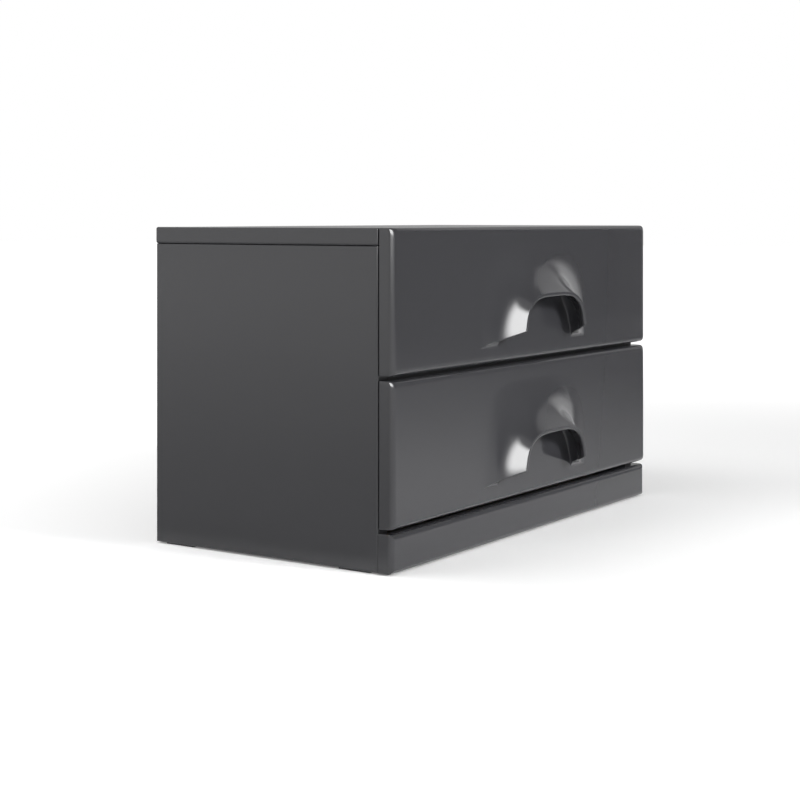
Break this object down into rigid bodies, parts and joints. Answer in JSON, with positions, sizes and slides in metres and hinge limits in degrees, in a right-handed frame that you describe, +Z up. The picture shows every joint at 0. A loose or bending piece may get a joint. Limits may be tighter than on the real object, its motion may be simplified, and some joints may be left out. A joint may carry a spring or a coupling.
{
  "type": "chest of drawers",
  "caption": "Low tabletop chest of drawers in charcoal satin lacquer, with overlay drawer fronts that each carry a moulded hood handle, on a plain plinth.",
  "frame": {"origin": "on the table under the centre of the closed chest, with its handles", "axes": "+Z up, +X along the width to the viewer's right, -Y towards the viewer, the way the drawers open"},
  "size_m": [0.4, 0.238, 0.2405],
  "materials": {
    "charcoal_lacquer": "satin charcoal lacquer on fibreboard",
    "painted_hardboard": "matt charcoal paint on hardboard",
    "birch_plywood": "clear satin varnish",
    "raw_pine": "planed, unfinished",
    "beech_dowel": "fluted, unfinished",
    "zinc_plated_steel": "bright zinc",
    "bearing_steel": "polished",
    "screw_steel": "zinc plated",
    "felt": "pressed felt",
    "soft_bumper": "matt"
  },
  "bodies": {
    "case": {"back_panel": "painted_hardboard", "back_panel_screws": "screw_steel", "bottom_panel": "charcoal_lacquer", "case_dowels": "beech_dowel", "corner_blocks": "raw_pine", "drawer_divider": "charcoal_lacquer", "foot_pads": "felt", "front_bumpers": "soft_bumper", "left_side_panel": "charcoal_lacquer", "lower_left_slide_channel": "zinc_plated_steel", "lower_right_slide_channel": "zinc_plated_steel", "plinth_dowels": "beech_dowel", "plinth_front": "charcoal_lacquer", "rear_base_rail": "raw_pine", "right_side_panel": "charcoal_lacquer", "slide_channel_screws": "screw_steel", "top_panel": "charcoal_lacquer", "upper_left_slide_channel": "zinc_plated_steel", "upper_right_slide_channel": "zinc_plated_steel"},
    "upper_drawer": {"upper_drawer_back": "birch_plywood", "upper_drawer_bottom": "birch_plywood", "upper_drawer_dowels": "beech_dowel", "upper_drawer_front": "charcoal_lacquer", "upper_drawer_front_screws": "screw_steel", "upper_drawer_inner_front": "birch_plywood", "upper_drawer_left_side": "birch_plywood", "upper_drawer_right_side": "birch_plywood", "upper_left_slide_rail": "zinc_plated_steel", "upper_right_slide_rail": "zinc_plated_steel", "upper_slide_rail_screws": "screw_steel"},
    "lower_drawer": {"lower_drawer_back": "birch_plywood", "lower_drawer_bottom": "birch_plywood", "lower_drawer_dowels": "beech_dowel", "lower_drawer_front": "charcoal_lacquer", "lower_drawer_front_screws": "screw_steel", "lower_drawer_inner_front": "birch_plywood", "lower_drawer_left_side": "birch_plywood", "lower_drawer_right_side": "birch_plywood", "lower_left_slide_rail": "zinc_plated_steel", "lower_right_slide_rail": "zinc_plated_steel", "lower_slide_rail_screws": "screw_steel"},
    "upper_ball_cages": {"upper_left_ball_cage": "zinc_plated_steel", "upper_left_slide_balls": "bearing_steel", "upper_right_ball_cage": "zinc_plated_steel", "upper_right_slide_balls": "bearing_steel"},
    "lower_ball_cages": {"lower_left_ball_cage": "zinc_plated_steel", "lower_left_slide_balls": "bearing_steel", "lower_right_ball_cage": "zinc_plated_steel", "lower_right_slide_balls": "bearing_steel"}
  },
  "joints": [
    {"name": "upper_drawer_slide", "type": "slide", "parent": "case", "child": "upper_drawer", "axis": [0, -1, 0], "range_m": [0, 0.135]},
    {"name": "upper_cage_slide", "type": "slide", "parent": "case", "child": "upper_ball_cages", "axis": [0, -1, 0], "range_m": [0, 0.0675]},
    {"name": "lower_drawer_slide", "type": "slide", "parent": "case", "child": "lower_drawer", "axis": [0, -1, 0], "range_m": [0, 0.135]},
    {"name": "lower_cage_slide", "type": "slide", "parent": "case", "child": "lower_ball_cages", "axis": [0, -1, 0], "range_m": [0, 0.0675]}
  ],
  "couplings": [
    {"joint": "upper_cage_slide", "follows": "upper_drawer_slide", "ratio": 0.5},
    {"joint": "lower_cage_slide", "follows": "lower_drawer_slide", "ratio": 0.5}
  ]
}
